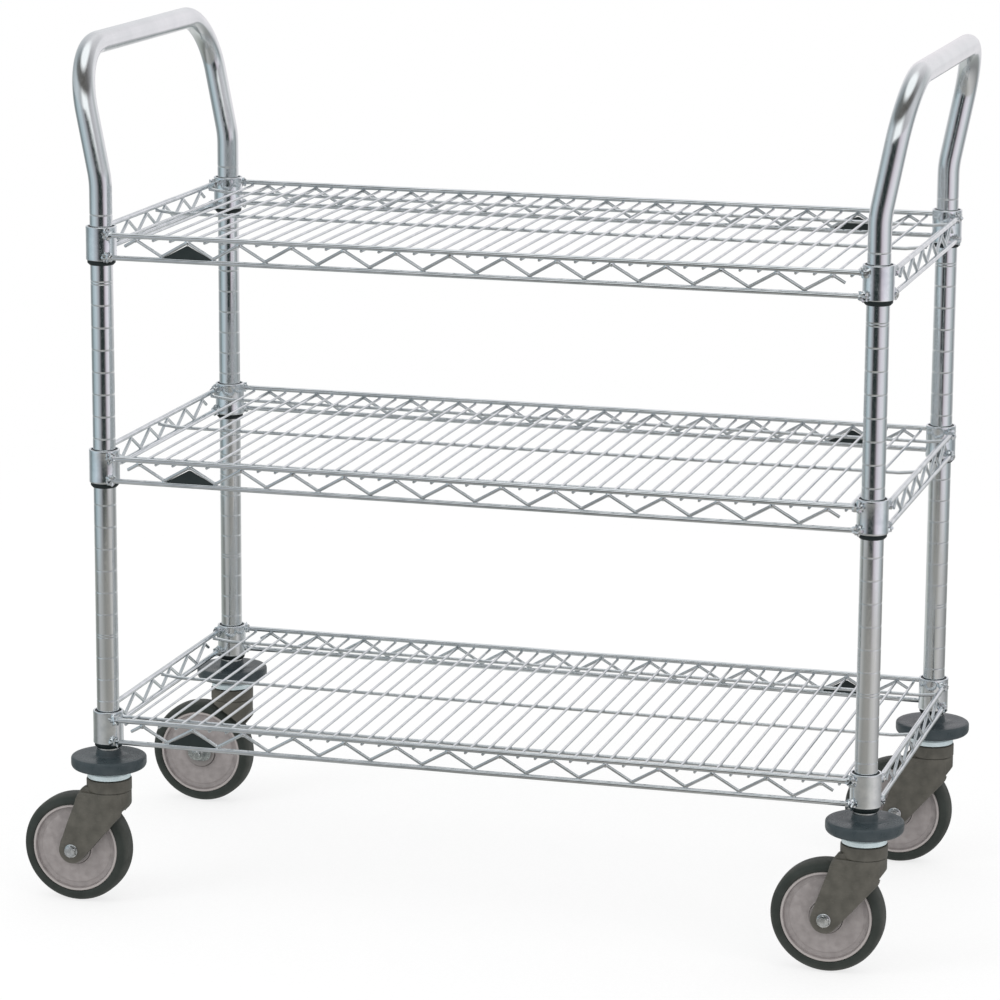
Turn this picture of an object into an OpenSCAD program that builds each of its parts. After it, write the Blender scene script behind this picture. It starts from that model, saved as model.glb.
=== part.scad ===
// Wire shelf cart: two bent-tube end frames carry three welded wire shelves,
// and four single-arm swivel casters with round corner bumpers stand under the posts.
// +X runs along the cart, +Y across it, +Z up. The casters trail towards -X.
// The origin is on the floor, under the middle of the whole object.

/* [Frame] */
// Distance between the post centres along the cart
post_span_x = 880; // [560:10:1200]
// Distance between the post centres across the cart
post_span_y = 423; // [360:1:600]
// Outside diameter of the frame tube
post_d = 25.4; // [25:0.1:26]
// Wall thickness of the frame tube
post_wall = 1.6; // [1.2:0.1:2]
// Distance from one post groove to the next
groove_pitch = 25.4; // [25:0.1:26]
// Width of a post groove
groove_w = 2; // [1.6:0.1:2.4]
// Depth of a post groove
groove_depth = 0.7; // [0.4:0.1:0.9]

/* [Handles] */
// Height of the handle tops above the floor
handle_top_z = 996.2; // [960:0.1:1040]
// Height of the kink where a handle starts to lean, above the top shelf's collars
kink_rise = 51; // [40:1:60]
// Lean of each handle away from the shelves, in degrees
lean = 11; // [6:1:14]
// Centreline radius of the handle's top corners
corner_r = 70; // [50:1:80]
// Centreline radius of the kink
kink_r = 120; // [90:1:140]

/* [Shelves] */
// Height of the bottom shelf's collar tops above the floor
shelf_low_z = 228; // [222:1:240]
// Height from the bottom shelf to the middle shelf
bay_low = 304.8; // [254:25.4:355.6]
// Height from the middle shelf to the top shelf
bay_high = 254; // [203.2:25.4:304.8]
// Diameter of the wires round the shelf's edge
edge_wire_d = 5.8; // [5:0.1:6.4]
// Diameter of the zigzag wires in the edge trusses
truss_wire_d = 3.8; // [3.2:0.1:4.2]
// Diameter of the deck wires
deck_wire_d = 3; // [2.6:0.1:3.6]
// Diameter of the long wires under the deck
support_wire_d = 4; // [3.6:0.1:4.6]
// Distance between the top and bottom edge wires
truss_h = 25.4; // [24:0.1:27]
// Deck wires in one period of the zigzag
wires_per_zigzag = 3; // [2, 3, 4]
// Zigzag peaks in each long edge
long_peaks = 14; // [10:2:16]
// Length of one zigzag period
zigzag_period = 60.5; // [56:0.1:62]
// Zigzag peaks in each short edge
short_peaks = 6; // [4:2:6]
// Height of a shelf collar
collar_h = 38; // [34:1:42]
// Outside diameter of a shelf collar
collar_d = 34.6; // [34:0.1:36]

/* [Casters] */
// Diameter of the wheels
wheel_d = 127; // [120:1:128]
// Width of the tyres
wheel_w = 31; // [28:0.5:32]
// Distance that a wheel trails behind its swivel axis
trail = 38; // [34:1:40]
// Diameter of the grey wheel cores
core_d = 103; // [98:1:106]
// Diameter of the swivel heads
head_d = 52; // [50:1:54]
// Diameter of the corner bumpers
bumper_d = 86.5; // [80:0.5:90]
// Thickness of the corner bumpers
bumper_h = 14.5; // [12:0.5:16]

/* [Hidden] */

// Facets of the round things: wires, and tubes or wheels
wire_fn = 36;
tube_fn = 64;

// Post grooves and the seams between the sections of a tube
pair_gap = 1.4;
groove_slope = 0.3;
seam_h = 2;
seam_skin = 0.15;

// How far the cart reaches to each side of the posts' centre, which sets the origin
handle_out = (handle_top_z - post_d / 2 - kink_z()) * tan(lean);
reach_left = post_span_x / 2 + trail + wheel_d / 2;
reach_right = post_span_x / 2 + max(bumper_d / 2, handle_out + post_d / 2);
mid_x = (reach_left - reach_right) / 2;

// Shelf levels, at the tops of their collars
middle_z = shelf_low_z + bay_low;
top_z = middle_z + bay_high;

// Caster levels, from the wheel up
axle_z = wheel_d / 2;
parting_z = 134;
head_top_z = 148;
race_z = 151;
bumper_z = 160;
post_z = bumper_z + bumper_h;
fork_corner_z = 119;
fork_shoulder_z = 120;
fork_knee_in = 4;
fork_knee_z = 103.5;
parting_step = 0.4;
arm_bulge = 9;

// Collars, sleeves and welds
collar_bore_d = 30.4;
sleeve_gap = 0.05;
sleeve_lip = 4.4;
sleeve_lip_d = 32.8;
rib_w = 1.4;
rib_drop = groove_pitch * 1.5;
edge_out = 14;
top_wire_drop = 8;
weld_r = 4.2;
weld_in = 13.6;

// Depths of the wires below the centre of the top edge wires, each sunk a little into the next
weld_sink = 0.3;
deck_drop = (edge_wire_d + deck_wire_d) / 2 - weld_sink;
support_drop = deck_drop + (deck_wire_d + support_wire_d) / 2 - weld_sink;
peak_drop = (edge_wire_d + truss_wire_d) / 2 - weld_sink;
valley_drop = truss_h - peak_drop;
half_period = zigzag_period / 2;
tail_share = 0.45;
node_swell = 0.4;
long_half = post_span_x / 2 - weld_in;
short_half = post_span_y / 2 - weld_in;
long_edge_y = post_span_y / 2 + edge_out;
short_edge_x = post_span_x / 2 + edge_out;
support_y = long_edge_y - 43;
support_ramp = 24;
deck_overhang = 1.6;
badge_margin = 3;
badge_t = 2;

// Wheel, hub and axle
axle_r = 4.7;
run_gap = 0.06;
tyre_edge_r = 10;
lip_w = 3;
lip_y = 13.6;
web_y = 9;
hub_r = 18.5;
hub_y = 15;
bush_r = 8;
bush_flange_r = 11;
arm_in = 17.5;
arm_out = head_d / 2;
arm_end_r = 15.5;
wheel_room = 4;
bolt_af = 12.7;
nut_af = 14.3;
bolt_head_h = 5.5;
bolt_flange_r = 8;
bolt_flange_t = 1.2;
nut_washer_y = hub_y + 2;
nut_washer_t = 1.6;
nut_h = 8;
bolt_tip = 3;

// Kingpin and stem
king_r = 6;
king_head_r = 10;
king_head_z = 123.5;
king_shoulder_z = 128.5;
stem_plug_h = 50;
stem_gap = 0.1;
king_gap = 0.5;
ball_r = 2.5;
ball_ring_r = 18;
ball_count = 14;
ball_gap = 0.1;

function kink_z() = shelf_low_z + bay_low + bay_high + kink_rise;

// A straight round rod from point a to point b
module rod(a, b, r, fn = wire_fn) {
    v = b - a;
    len = norm(v);
    translate(a)
        rotate([0, acos(v.z / len), atan2(v.y, v.x)])
            cylinder(h = len, r = r, $fn = fn);
}

// Places its children at each of the four posts
module at_posts() {
    for (sx = [-1, 1], sy = [-1, 1])
        translate([mid_x + sx * post_span_x / 2, sy * post_span_y / 2, 0]) children();
}

// ---- End frames ----

// Height and half width of each groove, from the bottom up, with two slim ones at every eighth place
function grooves() = [
    for (k = [21:-1:-3])
        let (z = top_z - (k + 2.5) * groove_pitch, slim = groove_w * 0.45)
        each (k % 8 == 0 ? [[z - pair_gap, slim], [z + pair_gap, slim]] : [[z, groove_w / 2]])
];

// One grooved, straight post, open at both ends
module straight_post(end_z) {
    r = post_d / 2;
    floor_r = r - groove_depth;
    outer = [
        for (g = grooves())
            let (z = g[0], edge = g[1], flat = g[1] - groove_slope)
            each [[r, z - edge], [floor_r, z - flat], [floor_r, z + flat], [r, z + edge]]
    ];
    rotate_extrude($fn = tube_fn)
        polygon(concat([[r - post_wall, post_z], [r, post_z]], outer, [[r, end_z], [r - post_wall, end_z]]));
}

// Cross-section of the frame tube, at a distance from the axis of a bend, thicker by skin all round
module tube_section(bend_r, skin = 0) {
    translate([bend_r, 0]) difference() {
        circle(d = post_d + 2 * skin, $fn = tube_fn);
        circle(d = post_d - 2 * post_wall - 2 * skin, $fn = tube_fn);
    }
}

module straight_tube(length) {
    linear_extrude(length) tube_section(0);
}

// A hair-thick ring across the end of a section, which joins it to the next into one tube
module seam() {
    translate([0, 0, -seam_h / 2]) linear_extrude(seam_h) tube_section(0, seam_skin);
}

// The leaning loop above the kinks, in its own upright frame
module handle_loop() {
    rise = (handle_top_z - post_d / 2 - kink_z()) / cos(lean);
    start = kink_r * tan(lean / 2);
    half = post_span_y / 2;
    for (side = [-1, 1]) {
        translate([0, side * half, start]) straight_tube(rise - corner_r - start);
        translate([0, side * half, start]) seam();
        translate([0, side * half, rise - corner_r]) seam();
        translate([0, side * (half - corner_r), rise]) rotate([-90, 0, 0]) seam();
        translate([0, side * (half - corner_r), rise - corner_r])
            rotate([0, -90, 0])
                rotate([0, 0, side > 0 ? 0 : -90])
                    rotate_extrude(angle = 90, $fn = tube_fn) tube_section(corner_r);
    }
    translate([0, -(half - corner_r), rise])
        rotate([-90, 0, 0])
            straight_tube(2 * (half - corner_r));
}

// An end frame is one tube: two posts, two kinks and the handle loop. side is -1 for the left end
module end_frame(side) {
    start = kink_r * tan(lean / 2);
    color("silver")
        translate([mid_x + side * post_span_x / 2, 0, 0]) {
            for (sy = [-1, 1])
                translate([0, sy * post_span_y / 2, 0]) {
                    straight_post(kink_z() - start);
                    translate([0, 0, kink_z() - start]) seam();
                    translate([side * kink_r, 0, kink_z() - start])
                        rotate([90, 0, 0])
                            rotate([0, 0, side > 0 ? 180 - lean : 0])
                                rotate_extrude(angle = lean, $fn = tube_fn) tube_section(kink_r);
                }
            translate([0, 0, kink_z()]) rotate([0, side * lean, 0]) handle_loop();
        }
}

// ---- Shelves ----

// Deck: wires across the cart on three long wires, welded into one mat
module deck(z) {
    pitch = zigzag_period / wires_per_zigzag;
    last = (long_peaks - 1) / 2 * wires_per_zigzag + 1;
    deck_z = z - top_wire_drop - deck_drop;
    support_z = z - top_wire_drop - support_drop;
    ramp_z = z - top_wire_drop - peak_drop;
    color("gainsboro") {
        for (i = [-last:1:last]) {
            at_peak = (i + last - 1) % wires_per_zigzag == 0;
            reach = long_edge_y + (at_peak ? -truss_wire_d / 2 : deck_overhang);
            rod([mid_x + i * pitch, -reach, deck_z], [mid_x + i * pitch, reach, deck_z], deck_wire_d / 2);
        }
        for (y = [-support_y, 0, support_y]) {
            flat_x = short_edge_x - support_ramp;
            rod([mid_x - flat_x, y, support_z], [mid_x + flat_x, y, support_z], support_wire_d / 2);
            for (sx = [-1, 1]) {
                translate([mid_x + sx * flat_x, y, support_z])
                    sphere(d = support_wire_d + node_swell, $fn = wire_fn);
                ramp_start = [mid_x + sx * flat_x, y, support_z];
                rod(ramp_start, [mid_x + sx * short_edge_x, y, ramp_z], support_wire_d / 2);
            }
        }
    }
}

// A truss along X: top and bottom edge wires, the zigzag between them and the welds at its ends
module truss(half_len, peaks) {
    first = -(peaks - 1) / 2 * zigzag_period;
    tail = tail_share * half_period;
    tail_drop = peak_drop + tail_share * (valley_drop - peak_drop);
    swell_r = (truss_wire_d + node_swell) / 2;
    wire_r = truss_wire_d / 2;
    for (z = [0, -truss_h]) {
        rod([-half_len - 2, 0, z], [half_len + 2, 0, z], edge_wire_d / 2);
        for (sx = [-1, 1])
            translate([sx * half_len, 0, z]) sphere(r = weld_r, $fn = wire_fn);
    }
    for (i = [0:peaks - 1]) {
        x = first + i * zigzag_period;
        translate([x, 0, -peak_drop]) sphere(r = swell_r, $fn = wire_fn);
        if (i < peaks - 1) {
            translate([x + half_period, 0, -valley_drop]) sphere(r = swell_r, $fn = wire_fn);
            rod([x, 0, -peak_drop], [x + half_period, 0, -valley_drop], wire_r);
            rod([x + half_period, 0, -valley_drop], [x + zigzag_period, 0, -peak_drop], wire_r);
        }
    }
    for (sx = [-1, 1])
        rod([sx * -first, 0, -peak_drop], [sx * (-first + tail), 0, -tail_drop], wire_r);
}

module trusses(z) {
    wire_z = z - top_wire_drop;
    color("gainsboro") {
        for (sy = [-1, 1])
            translate([mid_x, sy * long_edge_y, wire_z]) truss(long_half, long_peaks);
        for (sx = [-1, 1])
            translate([mid_x + sx * short_edge_x, 0, wire_z])
                rotate([0, 0, 90])
                    truss(short_half, short_peaks);
    }
}

module collars(z) {
    color("lightgrey")
        at_posts()
            translate([0, 0, z - collar_h])
                difference() {
                    cylinder(h = collar_h, d = collar_d, $fn = tube_fn);
                    translate([0, 0, -1]) cylinder(h = collar_h + 2, d = collar_bore_d, $fn = tube_fn);
                }
}

// Split plastic sleeves: two half rings to a post, with a rib that sits in a post groove
module sleeves(z) {
    inner = post_d / 2 + sleeve_gap;
    outer = collar_bore_d / 2 - sleeve_gap;
    rib = inner - groove_depth * 0.7;
    top = z - 1.5;
    low = z - collar_h - sleeve_lip;
    rib_mid = z - rib_drop;
    profile = [
        [inner, low], [sleeve_lip_d / 2, low], [sleeve_lip_d / 2, z - collar_h], [outer, z - collar_h],
        [outer, top], [inner, top], [inner, rib_mid + rib_w / 2], [rib, rib_mid + rib_w / 4],
        [rib, rib_mid - rib_w / 4], [inner, rib_mid - rib_w / 2]
    ];
    color("dimgrey")
        at_posts()
            for (turn = [1, 181])
                rotate([0, 0, turn]) rotate_extrude(angle = 178, $fn = tube_fn) polygon(profile);
}

// Blank triangular plates in the second zigzag from the left, seen from the front and from the back
module badges(z) {
    x = (long_peaks - 1) / 2 * zigzag_period - zigzag_period;
    low = z - top_wire_drop - truss_h + edge_wire_d / 2 - weld_sink;
    high = z - top_wire_drop - peak_drop - badge_margin;
    half = half_period - badge_margin;
    color("black")
        for (s = [-1, 1])
            translate([mid_x + s * x, s * long_edge_y + badge_t / 2, 0])
                rotate([90, 0, 0])
                    linear_extrude(badge_t)
                        polygon([[-half, low], [half, low], [half, low + 1], [0, high], [-half, low + 1]]);
}

// ---- Casters ----

// Places its children at one caster: swivel axis on Z, arm on -Y, or on +Y where arm is -1
module at_caster(sx, sy, arm = 1) {
    translate([mid_x + sx * post_span_x / 2, sy * post_span_y / 2, 0])
        mirror([0, arm < 0 ? 1 : 0, 0])
            children();
}

// Moves its children to the axle, with the axle along their Z and the arm at -Z
module on_axle() {
    translate([-trail, 0, axle_z]) rotate([-90, 0, 0]) children();
}

module stem(sx, sy) {
    plug_r = post_d / 2 - post_wall - stem_gap;
    color("lightsteelblue")
        at_caster(sx, sy)
            rotate_extrude($fn = tube_fn)
                polygon([
                    [0, king_head_z], [king_head_r, king_head_z], [king_head_r, king_shoulder_z],
                    [king_r, king_shoulder_z], [king_r, post_z + 2], [plug_r, post_z + 4],
                    [plug_r, post_z + stem_plug_h - 2], [plug_r - 2, post_z + stem_plug_h],
                    [0, post_z + stem_plug_h]
                ]);
}

module bumper(sx, sy) {
    r = bumper_d / 2;
    soft = 3;
    round_r = 6;
    color("slategrey")
        at_caster(sx, sy)
            rotate_extrude($fn = tube_fn)
                difference() {
                    union() {
                        translate([king_r, bumper_z]) square([r - round_r - king_r, bumper_h]);
                        translate([r - round_r - 0.01, bumper_z + round_r])
                            square([round_r + 0.01, bumper_h - round_r - soft]);
                        translate([r - round_r - 0.01, bumper_z + bumper_h - soft - 0.01])
                            square([round_r - soft, soft + 0.01]);
                        translate([r - round_r, bumper_z + round_r]) circle(r = round_r, $fn = tube_fn);
                        translate([r - soft, bumper_z + bumper_h - soft]) circle(r = soft, $fn = tube_fn);
                    }
                    square([king_r + stem_gap, 2 * post_z]);
                }
}

// Zinc race under the bumper, with a flat track for the swivel balls and a skirt round them
module raceway(sx, sy) {
    bore = king_r + stem_gap;
    track = ball_ring_r - 5;
    r = 25;
    skirt_z = race_z - 2;
    skirt_t = 1.5;
    color("powderblue")
        at_caster(sx, sy)
            rotate_extrude($fn = tube_fn)
                polygon([
                    [bore, race_z + 1], [track - 1, race_z + 1], [track, race_z], [r - 2 * skirt_t, race_z],
                    [r - skirt_t, skirt_z], [r, skirt_z], [r, race_z + 4], [r - 3, bumper_z], [bore, bumper_z]
                ]);
}

module swivel_balls() {
    color("grey")
        at_posts()
            for (i = [0:ball_count - 1])
                rotate([0, 0, i * 360 / ball_count])
                    translate([ball_ring_r, 0, race_z - ball_r - ball_gap])
                        sphere(r = ball_r, $fn = wire_fn);
}

// Outline of the arm in X and Z: a polygon tangent to the round end at the axle
module arm_outline() {
    r = head_d / 2;
    dx = r - fork_knee_in + trail;
    dz = fork_knee_z - axle_z;
    low_angle = atan2(dz, dx) - acos(arm_end_r / norm([dx, dz]));
    left_z = fork_shoulder_z;
    left_x = -r - arm_bulge;
    lx = left_x + trail;
    lz = left_z - axle_z;
    left_angle = atan2(lz, lx) + acos(arm_end_r / norm([lx, lz]));
    polygon([
        [r, parting_z - parting_step], [r, fork_corner_z], [r - fork_knee_in, fork_knee_z],
        [-trail + arm_end_r * cos(low_angle), axle_z + arm_end_r * sin(low_angle)],
        [-trail, axle_z],
        [-trail + arm_end_r * cos(left_angle), axle_z + arm_end_r * sin(left_angle)],
        [left_x, left_z], [-r, parting_z - parting_step]
    ]);
    translate([-trail, axle_z]) circle(r = arm_end_r, $fn = tube_fn);
}

// Fork: a round swivel head that hangs over the wheel, with one arm down to the axle
module fork(sx, sy, arm) {
    balls_z = race_z - 2 * (ball_r + ball_gap);
    groove_half = ball_r + 0.5;
    color("dimgrey")
        at_caster(sx, sy, arm)
            difference() {
                union() {
                    translate([0, 0, parting_z])
                        cylinder(h = head_top_z - parting_z, d = head_d, $fn = tube_fn);
                    translate([0, 0, parting_z - 2 * parting_step])
                        cylinder(h = 2 * parting_step, d = head_d - 2 * parting_step, $fn = tube_fn);
                    difference() {
                        intersection() {
                            translate([0, 0, axle_z])
                                cylinder(h = parting_z - axle_z, d = head_d - 2 * parting_step, $fn = tube_fn);
                            translate([0, head_d, 0])
                                rotate([90, 0, 0]) linear_extrude(2 * head_d) arm_outline();
                        }
                        translate([0, -arm_in, 0])
                            on_axle() cylinder(h = head_d, r = wheel_d / 2 + wheel_room, $fn = tube_fn);
                    }
                    intersection() {
                        translate([0, -arm_in, 0])
                            rotate([90, 0, 0])
                                linear_extrude(arm_out - arm_in) arm_outline();
                        union() {
                            cylinder(h = parting_z, d = head_d, $fn = tube_fn);
                            translate([-2 * head_d, -head_d, 0]) cube([2 * head_d, 2 * head_d, parting_z]);
                        }
                    }
                }
                cylinder(h = head_top_z + 1, r = king_r + run_gap, $fn = tube_fn);
                cylinder(h = king_shoulder_z + king_gap, r = king_head_r + king_gap, $fn = tube_fn);
                translate([0, 0, balls_z])
                    difference() {
                        cylinder(h = head_top_z, r = ball_ring_r + groove_half, $fn = tube_fn);
                        translate([0, 0, -1])
                            cylinder(h = head_top_z + 2, r = ball_ring_r - groove_half, $fn = tube_fn);
                    }
                translate([0, -head_d, 0])
                    on_axle() cylinder(h = head_d, r = axle_r + stem_gap, $fn = tube_fn);
            }
}

module hexagon(across, height) {
    cylinder(h = height, d = across / cos(30), $fn = 6);
}

// Axle bolt, with its hex head outside the arm and its thread past the nut
module axle_bolt(sx, sy, arm) {
    shank = arm_out + nut_washer_y + nut_washer_t + nut_h + bolt_tip;
    color("whitesmoke")
        at_caster(sx, sy, arm)
            on_axle() {
                translate([0, 0, -arm_out - bolt_flange_t])
                    cylinder(h = bolt_flange_t, r = bolt_flange_r, $fn = tube_fn);
                translate([0, 0, -arm_out - bolt_head_h])
                    hexagon(bolt_af, bolt_head_h - bolt_flange_t);
                translate([0, 0, -arm_out])
                    cylinder(h = shank, r = axle_r, $fn = tube_fn);
            }
}

// Oval washer and nut on the wheel's open side
module axle_nut(sx, sy, arm) {
    hole_r = axle_r + stem_gap;
    oval = 5;
    washer_r = 10;
    color("lightgrey")
        at_caster(sx, sy, arm)
            on_axle() {
                translate([0, 0, nut_washer_y]) linear_extrude(nut_washer_t) difference() {
                    union() {
                        for (s = [-1, 1])
                            translate([s * oval, 0]) circle(r = washer_r, $fn = tube_fn);
                        square([2 * oval, 2 * washer_r], center = true);
                    }
                    circle(r = hole_r, $fn = tube_fn);
                }
                translate([0, 0, nut_washer_y + nut_washer_t]) difference() {
                    hexagon(nut_af, nut_h);
                    translate([0, 0, -1]) cylinder(h = nut_h + 2, r = hole_r, $fn = tube_fn);
                }
            }
}

// Half of the wheel core's section, from the bush to the tyre seat, for y of 0 and more
function core_half() = [
    [bush_r, hub_y], [hub_r, hub_y], [hub_r + 1.5, web_y + 1], [core_d / 2 - lip_w - 5, web_y],
    [core_d / 2 - lip_w, lip_y], [core_d / 2, lip_y]
];

module wheel_core(sx, sy, arm) {
    half = core_half();
    last = len(half) - 1;
    color("rosybrown")
        at_caster(sx, sy, arm)
            on_axle()
                rotate_extrude($fn = tube_fn)
                    polygon(concat(half, [for (i = [last:-1:0]) [half[i].x, -half[i].y]]));
}

// Tyre: a flat-seated ring with rounded tread edges
module tyre(sx, sy, arm) {
    seat = core_d / 2;
    r = wheel_d / 2;
    half = wheel_w / 2;
    color("darkslategrey")
        at_caster(sx, sy, arm)
            on_axle()
                rotate_extrude($fn = 2 * tube_fn)
                    intersection() {
                        translate([seat, -half]) square([r - seat, wheel_w]);
                        union() {
                            translate([seat, -half]) square([r - tyre_edge_r - seat, wheel_w]);
                            translate([seat, -half + tyre_edge_r]) square([r - seat, wheel_w - 2 * tyre_edge_r]);
                            for (s = [-1, 1])
                                translate([r - tyre_edge_r, s * (half - tyre_edge_r)])
                                    circle(r = tyre_edge_r, $fn = tube_fn);
                        }
                    }
}

// Flanged bush that turns on the axle bolt and spaces the wheel between the arm and the washer
module wheel_bearing(sx, sy, arm) {
    bore = axle_r + run_gap;
    far = nut_washer_y - 0.3;
    near = arm_in - 0.3;
    color("burlywood")
        at_caster(sx, sy, arm)
            on_axle()
                rotate_extrude($fn = tube_fn)
                    polygon([
                        [bore, -near], [bush_flange_r, -near], [bush_flange_r, -hub_y], [bush_r, -hub_y],
                        [bush_r, hub_y], [bush_flange_r, hub_y], [bush_flange_r, far], [bore, far]
                    ]);
}

end_frame(-1);  // left_end_frame
end_frame(1);  // right_end_frame

deck(top_z);  // top_shelf_deck
trusses(top_z);  // top_shelf_trusses
collars(top_z);  // top_shelf_collars
sleeves(top_z);  // top_shelf_sleeves
badges(top_z);  // top_shelf_badges
deck(middle_z);  // middle_shelf_deck
trusses(middle_z);  // middle_shelf_trusses
collars(middle_z);  // middle_shelf_collars
sleeves(middle_z);  // middle_shelf_sleeves
badges(middle_z);  // middle_shelf_badges
deck(shelf_low_z);  // bottom_shelf_deck
trusses(shelf_low_z);  // bottom_shelf_trusses
collars(shelf_low_z);  // bottom_shelf_collars
sleeves(shelf_low_z);  // bottom_shelf_sleeves
badges(shelf_low_z);  // bottom_shelf_badges

swivel_balls();

stem(-1, -1);  // front_left_stem
bumper(-1, -1);  // front_left_bumper
raceway(-1, -1);  // front_left_raceway
fork(-1, -1, 1);  // front_left_fork
axle_bolt(-1, -1, 1);  // front_left_axle_bolt
axle_nut(-1, -1, 1);  // front_left_axle_nut
wheel_core(-1, -1, 1);  // front_left_wheel_core
tyre(-1, -1, 1);  // front_left_tyre
wheel_bearing(-1, -1, 1);  // front_left_wheel_bearing

stem(1, -1);  // front_right_stem
bumper(1, -1);  // front_right_bumper
raceway(1, -1);  // front_right_raceway
fork(1, -1, 1);  // front_right_fork
axle_bolt(1, -1, 1);  // front_right_axle_bolt
axle_nut(1, -1, 1);  // front_right_axle_nut
wheel_core(1, -1, 1);  // front_right_wheel_core
tyre(1, -1, 1);  // front_right_tyre
wheel_bearing(1, -1, 1);  // front_right_wheel_bearing

stem(-1, 1);  // back_left_stem
bumper(-1, 1);  // back_left_bumper
raceway(-1, 1);  // back_left_raceway
fork(-1, 1, -1);  // back_left_fork
axle_bolt(-1, 1, -1);  // back_left_axle_bolt
axle_nut(-1, 1, -1);  // back_left_axle_nut
wheel_core(-1, 1, -1);  // back_left_wheel_core
tyre(-1, 1, -1);  // back_left_tyre
wheel_bearing(-1, 1, -1);  // back_left_wheel_bearing

stem(1, 1);  // back_right_stem
bumper(1, 1);  // back_right_bumper
raceway(1, 1);  // back_right_raceway
fork(1, 1, 1);  // back_right_fork
axle_bolt(1, 1, 1);  // back_right_axle_bolt
axle_nut(1, 1, 1);  // back_right_axle_nut
wheel_core(1, 1, 1);  // back_right_wheel_core
tyre(1, 1, 1);  // back_right_tyre
wheel_bearing(1, 1, 1);  // back_right_wheel_bearing
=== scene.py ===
"""Looks of the wire shelf cart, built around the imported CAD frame.

The part's lengths are in millimetres until a mesh is made. Those of materials and the stage are in metres.
"""

import math
import random

import bmesh
import bpy
from mathutils import Matrix, Vector, noise


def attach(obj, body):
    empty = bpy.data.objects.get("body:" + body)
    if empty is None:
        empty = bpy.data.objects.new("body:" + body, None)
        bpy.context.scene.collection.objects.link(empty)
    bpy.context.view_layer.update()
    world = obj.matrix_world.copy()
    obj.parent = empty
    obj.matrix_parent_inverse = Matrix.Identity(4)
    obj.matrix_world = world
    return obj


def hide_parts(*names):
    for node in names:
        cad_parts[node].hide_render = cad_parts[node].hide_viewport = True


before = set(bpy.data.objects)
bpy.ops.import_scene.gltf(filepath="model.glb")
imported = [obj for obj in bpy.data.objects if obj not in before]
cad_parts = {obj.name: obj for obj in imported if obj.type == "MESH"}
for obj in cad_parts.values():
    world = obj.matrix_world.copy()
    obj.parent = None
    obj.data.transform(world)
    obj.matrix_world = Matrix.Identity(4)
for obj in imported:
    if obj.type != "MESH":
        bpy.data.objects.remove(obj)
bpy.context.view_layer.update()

MM = 0.001
TAU = 2 * math.pi
SIDES = (-1, 1)
SHARP = math.radians(38)
random.seed(41)

# ---- Dimensions that the CAD part has too ----

MID_X = 29.125
HALF_X = 440.0
HALF_Y = 211.5
POST_R = 12.7
POST_WALL = 1.6
POST_SIDES = 56
POST_FOOT_Z = 174.5
KINK_Z = 837.8
KINK_R = 120.0
LEAN = math.radians(11)
CORNER_R = 70.0
GRIP_Z = 983.5
GROOVE_PITCH = 25.4
PAIR_GAP = 1.6
PAIR_EVERY = 8
GROOVE_DEPTH = 0.52
TOP_Z = 786.8
SHELF_TOPS = {"top": TOP_Z, "middle": 532.8, "bottom": 228.0}

COLLAR_R = 17.3
COLLAR_BORE_R = 15.2
COLLAR_H = 38.0
LIP_R = 15.9
LIP_H = 5.6
TOP_WIRE_DROP = 8.0
TRUSS_H = 25.4
EDGE_R = 2.9
TRUSS_R = 1.9
DECK_R = 1.5
SUPPORT_R = 2.0
EDGE_Y = HALF_Y + 14
EDGE_X = HALF_X + 14
WELD_IN = 13.6
WIRE_WAVER = 0.16
PERIOD = 60.5
LONG_PEAKS = 14
SHORT_PEAKS = 6
PEAK_DROP = 4.55
DECK_PITCH = PERIOD / 3
DECK_DROP = 4.1
SUPPORT_DROP = 7.3
SUPPORT_Y = 182.5
SUPPORT_RAMP = 24.0

AXLE_Z = 63.5
TRAIL = 38.0
WHEEL_R = 63.5
WHEEL_ROOM = 4.0
CORE_R = 51.5
HUB_R = 18.5
HUB_HALF_W = 14.8
TYRE_HALF_W = 15.5
BUSH_END = 16.9
HEAD_R = 26.0
HEAD_TOP_Z = 148.0
PARTING_Z = 134.0
NECK_TOP_Z = PARTING_Z - 0.25
HEAD_LOW_Z = PARTING_Z + 0.15
RACE_TOP_Z = 160.0
BUMPER_R = 43.25
KINGPIN_BORE_R = 6.1
KINGPIN_HEAD_BORE_R = 11.0
BALL_FLOOR_Z = 145.8
ARM_IN = 17.5
ARM_OUT = HEAD_R
ARM_END_R = 15.5
BOLT_R = 4.7
BOLT_ACROSS = 12.7
BOLT_HEAD_H = 5.5
BOLT_TIP = 3.0
NUT_ACROSS = 14.3
NUT_H = 8.0
WASHER_Y = 17.0
WASHER_T = 1.6
# Side of the cart along X and along Y, and -1 for a caster that is mirrored along Y
CORNERS = {
    "front_left": (-1, -1, 1),
    "front_right": (1, -1, 1),
    "back_left": (-1, 1, -1),
    "back_right": (1, 1, 1),
}


# ---- Mesh building ----


def circle(r, sides):
    """Points on a circle about the origin, in a plane."""
    return [(r * math.cos(TAU * k / sides), r * math.sin(TAU * k / sides)) for k in range(sides)]


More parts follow.
